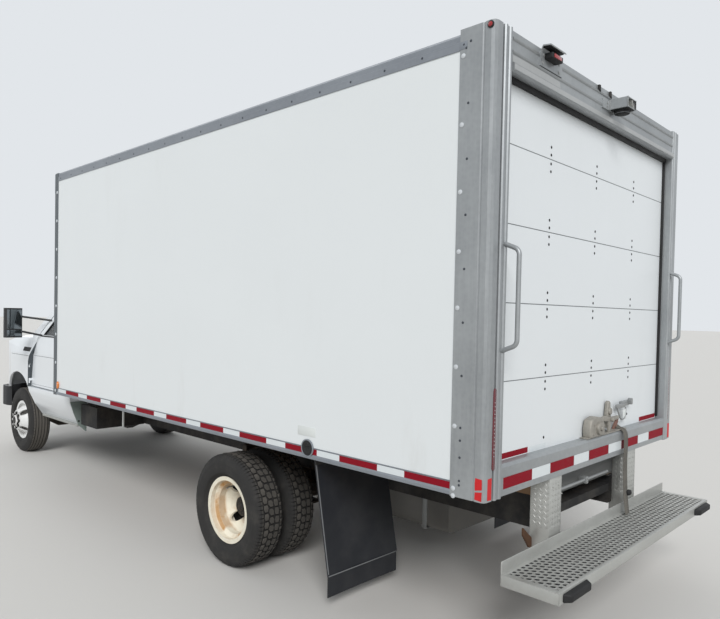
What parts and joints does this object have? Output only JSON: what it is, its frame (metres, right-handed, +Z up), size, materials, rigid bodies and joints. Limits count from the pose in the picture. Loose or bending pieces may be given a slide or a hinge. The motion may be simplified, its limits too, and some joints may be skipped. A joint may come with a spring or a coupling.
{
  "type": "box truck",
  "caption": "Box truck: van cab on a ladder frame, hollow freight body with ribbed rear frame, roll-up rear door and step, dual rear wheels, steering front wheels, opening cab doors and hood",
  "frame": {"origin": "on the ground under the middle of the whole truck", "axes": "+X forward to the cab, +Y to the driver's left, +Z up"},
  "size_m": [7.515, 2.652, 3],
  "materials": {
    "chassis_black": "satin black paint",
    "cast_steel": "cast, dull",
    "tank_grey": "grey paint",
    "floor_wood": "worn hardwood boards",
    "panel_white": "white prepainted sheet, slightly worn",
    "rail_grey": "plain mill finish",
    "galvanised_grey": "galvanised, streaked",
    "strap_grey": "woven webbing, dusty",
    "flap_rubber": "black rubber sheet",
    "rim_white": "white paint with rust marks",
    "tyre_black": "dusty black",
    "cab_white": "white gloss paint",
    "cab_glass": "tinted",
    "trim_black": "grained black",
    "seat_grey": "woven cloth",
    "lamp_red": "moulded lens"
  },
  "bodies": {
    "body": {"chassis_frame": "chassis_black", "front_axle": "chassis_black", "rear_axle": "chassis_black", "engine": "chassis_black", "exhaust": "chassis_black", "fuel_tank": "tank_grey", "box_floor": "floor_wood", "left_wall": "panel_white", "right_wall": "panel_white", "front_wall": "panel_white", "box_roof": "panel_white", "cargo_door": "panel_white", "left_side_frame": "rail_grey", "right_side_frame": "rail_grey", "rear_frame": "galvanised_grey", "door_latch": "galvanised_grey", "rear_step": "galvanised_grey", "pull_strap": "strap_grey", "mud_flaps": "flap_rubber", "cab_shell": "cab_white", "left_fender": "cab_white", "right_fender": "cab_white", "front_panel": "cab_white", "windscreen": "cab_glass", "front_bumper": "trim_black", "dashboard": "trim_black", "seats": "seat_grey", "lamps": "lamp_red"},
    "left_front_wheel": {"left_front_rim": "rim_white", "left_front_tyre": "tyre_black"},
    "right_front_wheel": {"right_front_rim": "rim_white", "right_front_tyre": "tyre_black"},
    "left_rear_wheels": {"left_rear_rims": "rim_white", "left_rear_tyres": "tyre_black"},
    "right_rear_wheels": {"right_rear_rims": "rim_white", "right_rear_tyres": "tyre_black"},
    "left_steering_knuckle": {"left_knuckle": "cast_steel"},
    "right_steering_knuckle": {"right_knuckle": "cast_steel"},
    "left_cab_door": {"left_door": "cab_white", "left_door_glass": "cab_glass", "left_mirror": "trim_black"},
    "right_cab_door": {"right_door": "cab_white", "right_door_glass": "cab_glass", "right_mirror": "trim_black"},
    "engine_hood": {"hood": "cab_white"}
  },
  "joints": [
    {"name": "left_steer", "type": "hinge", "parent": "body", "child": "left_steering_knuckle", "pos_m": [3.0025, 0.8, 0.372], "axis": [0, 0, 1], "range_deg": [-35, 35]},
    {"name": "right_steer", "type": "hinge", "parent": "body", "child": "right_steering_knuckle", "pos_m": [3.0025, -0.8, 0.372], "axis": [0, 0, 1], "range_deg": [-35, 35]},
    {"name": "left_front_spin", "type": "hinge", "parent": "left_steering_knuckle", "child": "left_front_wheel", "pos_m": [3.0025, 0.881, 0.372], "axis": [0, 1, 0], "continuous": true},
    {"name": "right_front_spin", "type": "hinge", "parent": "right_steering_knuckle", "child": "right_front_wheel", "pos_m": [3.0025, -0.881, 0.372], "axis": [0, 1, 0], "continuous": true},
    {"name": "left_rear_spin", "type": "hinge", "parent": "body", "child": "left_rear_wheels", "pos_m": [-1.4675, 0.995, 0.372], "axis": [0, 1, 0], "continuous": true},
    {"name": "right_rear_spin", "type": "hinge", "parent": "body", "child": "right_rear_wheels", "pos_m": [-1.4675, -0.995, 0.372], "axis": [0, 1, 0], "continuous": true},
    {"name": "left_door_swing", "type": "hinge", "parent": "body", "child": "left_cab_door", "pos_m": [2.6755, 1.008, 0.95], "axis": [0, 0, -1], "range_deg": [0, 68]},
    {"name": "right_door_swing", "type": "hinge", "parent": "body", "child": "right_cab_door", "pos_m": [2.6755, -1.008, 0.95], "axis": [0, 0, 1], "range_deg": [0, 68]},
    {"name": "hood_lift", "type": "hinge", "parent": "body", "child": "engine_hood", "pos_m": [2.7185, 0, 1.374], "axis": [0, -1, 0], "range_deg": [0, 60]}
  ],
  "couplings": [
    {"joint": "right_steer", "follows": "left_steer", "ratio": 1}
  ]
}
